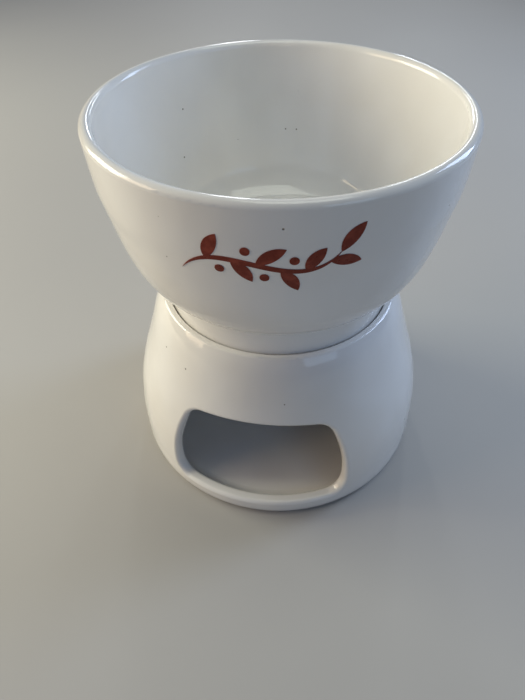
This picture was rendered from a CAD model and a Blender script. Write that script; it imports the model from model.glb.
import math

import bpy
from mathutils import Matrix, Vector, noise


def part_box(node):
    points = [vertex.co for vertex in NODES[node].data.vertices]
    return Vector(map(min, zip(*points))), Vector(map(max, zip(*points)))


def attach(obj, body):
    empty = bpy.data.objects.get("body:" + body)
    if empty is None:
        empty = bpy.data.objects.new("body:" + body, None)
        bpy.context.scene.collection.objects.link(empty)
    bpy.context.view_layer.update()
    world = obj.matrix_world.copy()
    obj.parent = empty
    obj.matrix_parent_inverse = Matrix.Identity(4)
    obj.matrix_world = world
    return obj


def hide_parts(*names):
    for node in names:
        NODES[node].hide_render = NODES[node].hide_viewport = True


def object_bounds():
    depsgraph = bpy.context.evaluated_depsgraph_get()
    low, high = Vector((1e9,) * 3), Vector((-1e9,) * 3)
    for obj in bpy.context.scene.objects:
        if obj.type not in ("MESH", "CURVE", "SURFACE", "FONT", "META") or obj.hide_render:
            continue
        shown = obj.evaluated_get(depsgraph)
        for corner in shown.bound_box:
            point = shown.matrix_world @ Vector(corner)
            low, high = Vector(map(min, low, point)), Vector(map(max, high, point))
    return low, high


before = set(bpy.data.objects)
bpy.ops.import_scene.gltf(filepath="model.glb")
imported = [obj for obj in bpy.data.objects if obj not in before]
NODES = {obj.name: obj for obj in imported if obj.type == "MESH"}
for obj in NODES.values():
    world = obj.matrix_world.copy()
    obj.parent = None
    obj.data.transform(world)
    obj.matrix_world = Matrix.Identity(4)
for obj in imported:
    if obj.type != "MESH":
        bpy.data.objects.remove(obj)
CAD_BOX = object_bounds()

# A glazed ceramic fondue pot set on a plain pale floor: a bowl that stands in a hollow
# burner base, with a tealight inside. Metres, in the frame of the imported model.

MM = 0.001


# ---------------------------------------------------------------- camera
CAMERA_PLACE = Vector((25.8, -188.4, 225.7)) * MM
CAMERA_DOWN = math.radians(44.8)         # below the horizon
CAMERA_HEADING = math.radians(9.93)      # from +Y towards -X
CAMERA_ROLL = math.radians(-1.16)
SENSOR = 36.0
LENS = 29.3                              # a phone's main lens


def make_camera():
    data = bpy.data.cameras.new("camera")
    data.sensor_width = SENSOR
    data.lens = LENS
    data.clip_start = 0.01
    camera = bpy.data.objects.new("camera", data)
    bpy.context.scene.collection.objects.link(camera)
    turn = Matrix.Rotation(CAMERA_HEADING, 4, "Z")
    tilt = Matrix.Rotation(math.pi / 2 - CAMERA_DOWN, 4, "X")
    roll = Matrix.Rotation(CAMERA_ROLL, 4, "Z")
    camera.matrix_world = Matrix.Translation(CAMERA_PLACE) @ turn @ tilt @ roll
    bpy.context.scene.camera = camera


# ---------------------------------------------------------------- node helpers
def new_material(name):
    material = bpy.data.materials.new(name)
    material.use_nodes = True
    tree = material.node_tree
    return material, tree, tree.nodes["Principled BSDF"]


def plug(tree, socket, value):
    """Sets a socket to a number or colour, or links it to another node's output."""
    if isinstance(value, bpy.types.NodeSocket):
        tree.links.new(value, socket)
    else:
        socket.default_value = value


def node(tree, kind, inputs=None, **settings):
    made = tree.nodes.new(kind)
    for name, value in settings.items():
        setattr(made, name, value)
    for name, value in (inputs or {}).items():
        plug(tree, made.inputs[name], value)
    return made


def object_place(tree):
    return tree.nodes.new("ShaderNodeTexCoord").outputs["Object"]


def noise_of(tree, place, size, detail=2.0):
    """Soft noise, 0 to 1, whose blotches are about the given size in metres."""
    inputs = {"Vector": place, "Scale": 1 / size, "Detail": detail, "Roughness": 0.5}
    return node(tree, "ShaderNodeTexNoise", inputs).outputs["Fac"]


def smooth_step(tree, value, low, high, start=0.0, end=1.0):
    inputs = {"Value": value, "From Min": low, "From Max": high, "To Min": start, "To Max": end}
    return node(tree, "ShaderNodeMapRange", inputs, interpolation_type="SMOOTHSTEP").outputs["Result"]


def mix_color(tree, factor, first, second):
    made = node(tree, "ShaderNodeMix", data_type="RGBA")
    plug(tree, made.inputs["Factor"], factor)
    plug(tree, made.inputs[6], first)
    plug(tree, made.inputs[7], second)
    return made.outputs[2]


def calc(tree, operation, first, second=0.0):
    made = node(tree, "ShaderNodeMath", operation=operation)
    plug(tree, made.inputs[0], first)
    plug(tree, made.inputs[1], second)
    return made.outputs[0]


def bump(tree, height, distance, normal=None):
    inputs = {"Height": height, "Distance": distance, "Strength": 1.0}
    if normal is not None:
        inputs["Normal"] = normal
    return node(tree, "ShaderNodeBump", inputs).outputs["Normal"]


def sparse_dots(tree, place, spacing, radius, share):
    """1 inside small dots scattered through space, 0 between them."""
    cells = node(tree, "ShaderNodeTexVoronoi", {"Vector": place, "Scale": 1 / spacing, "Randomness": 1.0})
    dot = smooth_step(tree, cells.outputs["Distance"], 0.5 * radius / spacing, radius / spacing, 1.0, 0.0)
    pick = node(tree, "ShaderNodeSeparateColor", {"Color": cells.outputs["Color"]}).outputs[0]
    return calc(tree, "MULTIPLY", dot, calc(tree, "LESS_THAN", pick, share))


# ---------------------------------------------------------------- materials
GLAZE_WHITE = (0.87, 0.86, 0.83, 1)
GLAZE_CREAM = (0.83, 0.81, 0.765, 1)
BISQUE = (0.66, 0.57, 0.46, 1)
BISQUE_PALE = (0.74, 0.67, 0.57, 1)
SPECK = (0.22, 0.19, 0.16, 1)
BROWN_THICK = (0.190, 0.026, 0.012, 1)
BROWN_THIN = (0.290, 0.052, 0.028, 1)
WAX_CLEAR = (0.90, 0.88, 0.83, 1)
WAX_CLOUDY = (0.80, 0.78, 0.72, 1)
COTTON_PALE = (0.86, 0.83, 0.75, 1)
COTTON_DARK = (0.66, 0.61, 0.50, 1)
FLOOR_PALE = (0.44, 0.425, 0.40, 1)
FLOOR_DARK = (0.425, 0.41, 0.388, 1)


def glaze(name, bare_height):
    """White glaze, faintly uneven, with a few pinholes. Below bare_height the clay is bare."""
    material, tree, shader = new_material(name)
    place = object_place(tree)
    height = node(tree, "ShaderNodeSeparateXYZ", {"Vector": place}).outputs["Z"]
    edge = calc(tree, "MULTIPLY", calc(tree, "SUBTRACT", noise_of(tree, place, 4 * MM), 0.5), 0.5 * MM)
    bare = smooth_step(tree, calc(tree, "ADD", height, edge), bare_height, bare_height + 0.15 * MM, 1.0, 0.0)

    tone = smooth_step(tree, noise_of(tree, place, 45 * MM), 0.35, 0.65)
    pinholes = sparse_dots(tree, place, 5 * MM, 0.42 * MM, 0.07)
    color = mix_color(tree, tone, GLAZE_WHITE, GLAZE_CREAM)
    color = mix_color(tree, pinholes, color, SPECK)
    clay = mix_color(tree, noise_of(tree, place, 1.5 * MM), BISQUE, BISQUE_PALE)
    plug(tree, shader.inputs["Base Color"], mix_color(tree, bare, color, clay))

    gloss = smooth_step(tree, noise_of(tree, place, 9 * MM, 3.0), 0.35, 0.7, 0.05, 0.16)
    rough = node(tree, "ShaderNodeMix", {"Factor": bare}, data_type="FLOAT")
    plug(tree, rough.inputs[2], gloss)
    rough.inputs[3].default_value = 0.85
    plug(tree, shader.inputs["Roughness"], rough.outputs[0])
    shader.inputs["Specular IOR Level"].default_value = 0.62

    ripples = bump(tree, noise_of(tree, place, 5 * MM, 1.0), 0.03 * MM)
    waves = bump(tree, noise_of(tree, place, 16 * MM, 1.0), 0.30 * MM, ripples)
    grain = bump(tree, calc(tree, "MULTIPLY", bare, noise_of(tree, place, 0.5 * MM)), 0.12 * MM, waves)
    pits = bump(tree, calc(tree, "SUBTRACT", 1.0, pinholes), 0.2 * MM, grain)
    plug(tree, shader.inputs["Normal"], pits)
    return material


def enamel(name):
    """Brown brush enamel, fired on: thinner and lighter in places, soft gloss."""
    material, tree, shader = new_material(name)
    place = object_place(tree)
    thin = smooth_step(tree, noise_of(tree, place, 3 * MM, 3.0), 0.45, 0.75)
    gloss = smooth_step(tree, noise_of(tree, place, 2 * MM), 0.3, 0.7, 0.26, 0.40)
    plug(tree, shader.inputs["Base Color"], mix_color(tree, thin, BROWN_THICK, BROWN_THIN))
    plug(tree, shader.inputs["Roughness"], gloss)
    shader.inputs["Specular IOR Level"].default_value = 0.22
    plug(tree, shader.inputs["Normal"], bump(tree, noise_of(tree, place, 1.2 * MM), 0.03 * MM))
    return material


def metal(name, color, low, high):
    """Thin drawn sheet: fine upright draw marks and faint rubs, roughness between low and high."""
    material, tree, shader = new_material(name)
    place = object_place(tree)
    drawn = node(tree, "ShaderNodeMapping", {"Vector": place, "Scale": (1.0, 1.0, 0.06)}).outputs["Vector"]
    marks = noise_of(tree, drawn, 0.8 * MM, 2.0)
    rub = noise_of(tree, place, 7 * MM, 2.0)
    dull = tuple(0.86 * c for c in color[:3]) + (1,)
    plug(tree, shader.inputs["Base Color"], mix_color(tree, smooth_step(tree, rub, 0.4, 0.7), color, dull))
    plug(tree, shader.inputs["Roughness"], smooth_step(tree, rub, 0.3, 0.7, low, high))
    plug(tree, shader.inputs["Normal"], bump(tree, marks, 0.012 * MM))
    shader.inputs["Metallic"].default_value = 1.0
    return material


def candle_wax(name):
    material, tree, shader = new_material(name)
    place = object_place(tree)
    cloud = smooth_step(tree, noise_of(tree, place, 5 * MM, 3.0), 0.35, 0.7)
    gloss = smooth_step(tree, noise_of(tree, place, 2 * MM), 0.3, 0.7, 0.32, 0.5)
    plug(tree, shader.inputs["Base Color"], mix_color(tree, cloud, WAX_CLEAR, WAX_CLOUDY))
    plug(tree, shader.inputs["Roughness"], gloss)
    shader.inputs["Subsurface Weight"].default_value = 0.35
    shader.inputs["Subsurface Radius"].default_value = (0.004, 0.003, 0.002)
    shader.inputs["Subsurface Scale"].default_value = 1.0
    plug(tree, shader.inputs["Normal"], bump(tree, noise_of(tree, place, 1.5 * MM, 3.0), 0.06 * MM))
    return material


def waxed_cotton(name):
    material, tree, shader = new_material(name)
    place = object_place(tree)
    fibre = noise_of(tree, place, 0.3 * MM, 4.0)
    plug(tree, shader.inputs["Base Color"], mix_color(tree, fibre, COTTON_PALE, COTTON_DARK))
    plug(tree, shader.inputs["Roughness"], smooth_step(tree, fibre, 0.3, 0.7, 0.6, 0.9))
    plug(tree, shader.inputs["Normal"], bump(tree, fibre, 0.08 * MM))
    return material


def floor_paint(name):
    material, tree, shader = new_material(name)
    place = object_place(tree)
    tone = smooth_step(tree, noise_of(tree, place, 250 * MM), 0.3, 0.7)
    plug(tree, shader.inputs["Base Color"], mix_color(tree, tone, FLOOR_PALE, FLOOR_DARK))
    shader.inputs["Roughness"].default_value = 0.6
    return material


def assign(name, material):
    mesh = NODES[name].data
    mesh.materials.clear()
    mesh.materials.append(material)


# ---------------------------------------------------------------- tealight
def mesh_object(name, vertices, faces, material):
    mesh = bpy.data.meshes.new(name)
    mesh.from_pydata(vertices, [], faces)
    mesh.update()
    for face in mesh.polygons:
        face.use_smooth = True
    made = bpy.data.objects.new(name, mesh)
    bpy.context.scene.collection.objects.link(made)
    made.data.materials.append(material)
    return made


def turned(name, outline, segments, material, ripple=None):
    """A closed solid of revolution. The outline runs from the axis out and back to the axis;
    ripple(angle, radius, height) gives how far a point moves outward."""
    ring_points = outline[1:-1]
    vertices = [(0, 0, outline[0][1])]
    for radius, height in ring_points:
        for step in range(segments):
            angle = 2 * math.pi * step / segments
            out = radius + (ripple(angle, radius, height) if ripple else 0.0)
            vertices.append((out * math.cos(angle), out * math.sin(angle), height))
    vertices.append((0, 0, outline[-1][1]))
    last = len(vertices) - 1
    faces = []
    for step in range(segments):
        after = (step + 1) % segments
        faces.append((0, 1 + after, 1 + step))
        for ring in range(len(ring_points) - 1):
            low = 1 + ring * segments
            high = low + segments
            faces.append((low + step, low + after, high + after, high + step))
        faces.append((last - segments + step, last - segments + after, last))
    return mesh_object(name, vertices, faces, material)


def arc_points(centre, radius, start, end, steps):
    """Points along an arc in the (radius, height) plane, angles in degrees."""
    return [
        (centre[0] + radius * math.cos(math.radians(start + (end - start) * step / steps)),
         centre[1] + radius * math.sin(math.radians(start + (end - start) * step / steps)))
        for step in range(steps + 1)
    ]


def make_cup(material):
    """Drawn aluminium cup: rolled rim, pressed ring in the bottom, fine creases at its corner."""
    low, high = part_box("tealight_cup")
    bead = 0.6 * MM
    sheet = 0.3 * MM
    corner = 0.9 * MM
    radius = high.x
    body = radius - bead
    foot = body - 0.5 * MM
    bottom, top = low.z, high.z
    rim = (body, top - bead)
    ring = 8.0 * MM
    ring_rise = 0.25 * MM
    outline = [(0, bottom + ring_rise)]
    outline += [(ring - 0.6 * MM, bottom + ring_rise), (ring, bottom), (ring + 4.0 * MM, bottom)]
    outline += arc_points((foot - corner, bottom + corner), corner, -90, 0, 6)
    for share in (0.2, 0.4, 0.6, 0.8):
        outline.append((foot + (body - foot) * share, bottom + (rim[1] - bottom) * share))
    outline += arc_points(rim, bead, -80, 190, 14)
    outline += [(body - sheet - 0.05 * MM, top - 2.0 * MM), (foot - sheet, bottom + 1.4 * MM)]
    outline += [(foot - sheet - 0.6 * MM, bottom + sheet), (0, bottom + sheet)]

    def creases(angle, radius_here, height):
        if radius_here <= 0.9 * foot:
            return 0.0
        near_foot = max(0.0, 1 - (height - bottom) / (4 * MM))
        near_rim = max(0.0, 1 - abs(height - rim[1] + 1.6 * MM) / (1.8 * MM))
        return 0.05 * MM * (near_foot * math.sin(60 * angle) + 0.5 * near_rim * math.sin(90 * angle + 1))

    cup = turned("aluminium_cup", outline, 240, material, creases)
    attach(cup, "tealight")
    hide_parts("tealight_cup")


def make_wax(material):
    """Poured wax: it climbs a little at the cup and the wick, and sinks between them."""
    low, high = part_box("tealight_wax")
    side = high.x - 0.05 * MM
    taper = 0.5 * MM
    core = 0.95 * MM
    sink = 0.55 * MM
    steps = 24
    outline = [(0, low.z), (side - taper - 0.4 * MM, low.z), (side - taper, low.z + 0.4 * MM)]
    outline += [(side - 0.3 * MM, high.z - 1.0 * MM), (side - 0.15 * MM, high.z)]
    for step in range(1, steps):
        share = step / steps
        radius = side - 0.15 * MM - (side - core) * share
        dip = math.sin(math.pi * share) ** 0.6
        outline.append((radius, high.z - sink * dip))
    outline += [(core, high.z), (0, high.z + 0.05 * MM)]
    wax = turned("wax_fill", outline, 160, material)
    for vertex in wax.data.vertices:
        if vertex.co.z > high.z - 0.9 * MM:
            vertex.co.z += 0.06 * MM * noise.noise(vertex.co / (4 * MM))
    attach(wax, "tealight")
    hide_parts("tealight_wax")


def make_wick(material):
    """Three waxed cotton strands laid around each other, leaning a little at the top."""
    low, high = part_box("tealight_wick")
    wax_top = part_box("tealight_wax")[1].z
    strand = 0.46 * MM
    lay = 0.40 * MM
    pitch = 5.0 * MM
    steps, sides, strands = 120, 12, 3
    parts = []
    for number in range(strands):
        vertices, faces = [], []
        for step in range(steps + 1):
            share = step / steps
            height = low.z + strand + (high.z - low.z - 2 * strand) * share
            turn = 2 * math.pi * (height / pitch + number / strands)
            lean = max(0.0, height - wax_top) ** 2 * 18
            centre = Vector((lay * math.cos(turn) + lean, lay * math.sin(turn), height))
            fray = 1.0 - 0.35 * max(0.0, share - 0.96) / 0.04
            for side in range(sides):
                angle = 2 * math.pi * side / sides
                swell = strand * fray * (1 + 0.10 * math.sin(9 * angle + 40 * share))
                vertices.append(centre + Vector((swell * math.cos(angle), swell * math.sin(angle), 0)))
        for step in range(steps):
            for side in range(sides):
                after = (side + 1) % sides
                row, above = step * sides, (step + 1) * sides
                faces.append((row + side, row + after, above + after, above + side))
        faces.append(tuple(reversed(range(sides))))
        faces.append(tuple(range(steps * sides, (steps + 1) * sides)))
        parts.append(mesh_object("wick_strand_%d" % (number + 1), vertices, faces, material))
    for part in parts:
        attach(part, "tealight")
        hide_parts("tealight_wick")


# ---------------------------------------------------------------- stage
def make_floor():
    reach = 3.0
    corners = [(-reach, -reach, 0), (reach, -reach, 0), (reach, reach, 0), (-reach, reach, 0)]
    mesh_object("floor", corners, [(0, 1, 2, 3)], floor_paint("floor_paint"))


def soft_light(name, place, width, height, power, color):
    data = bpy.data.lights.new(name, "AREA")
    data.shape = "RECTANGLE"
    data.size = width
    data.size_y = height
    data.energy = power
    data.color = color
    light = bpy.data.objects.new(name, data)
    bpy.context.scene.collection.objects.link(light)
    light.location = place
    aim = Vector((0, 0, CAD_BOX[1].z / 2)) - Vector(place)
    light.rotation_euler = aim.to_track_quat("-Z", "Y").to_euler()


def make_lights():
    soft_light("key_left", (-0.80, 0.10, 0.36), 0.45, 0.45, 5.3, (1.0, 0.99, 0.81))
    soft_light("key_front_left", (-0.74, -0.26, 0.36), 0.40, 0.40, 2.0, (1.0, 0.77, 0.52))
    soft_light("window_right", (0.62, 0.40, 0.40), 0.22, 0.45, 2.7, (0.57, 0.72, 1.0))
    soft_light("window_back_left", (-0.22, 1.0, 0.50), 0.08, 0.45, 1.0, (0.92, 0.96, 1.0))
    soft_light("window_back_right", (0.12, 1.0, 0.50), 0.05, 0.45, 0.8, (0.85, 0.93, 1.0))
    soft_light("window_front_right", (0.48, -0.50, 0.34), 0.34, 0.30, 0.42, (0.50, 0.72, 1.0))
    soft_light("overhead", (0.10, 0.05, 1.2), 0.6, 0.6, 2.7, (0.95, 1.0, 0.88))
    world = bpy.data.worlds.new("studio")
    world.use_nodes = True
    background = world.node_tree.nodes["Background"]
    background.inputs["Color"].default_value = (0.63, 0.71, 1.0, 1)
    background.inputs["Strength"].default_value = 0.16
    bpy.context.scene.world = world
    bpy.context.scene.view_settings.view_transform = "Standard"


make_camera()
make_floor()
make_lights()
assign("burner_base", glaze("base_glaze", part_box("burner_base")[0].z + 0.6 * MM))
assign("fondue_bowl", glaze("bowl_glaze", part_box("fondue_bowl")[0].z + 0.6 * MM))
assign("painted_sprig", enamel("brown_enamel"))
assign("wick_sustainer", metal("sustainer_tin", (0.62, 0.62, 0.63, 1), 0.32, 0.48))
make_cup(metal("cup_aluminium", (0.82, 0.82, 0.83, 1), 0.24, 0.38))
make_wax(candle_wax("candle_wax"))
make_wick(waxed_cotton("wick_cotton"))
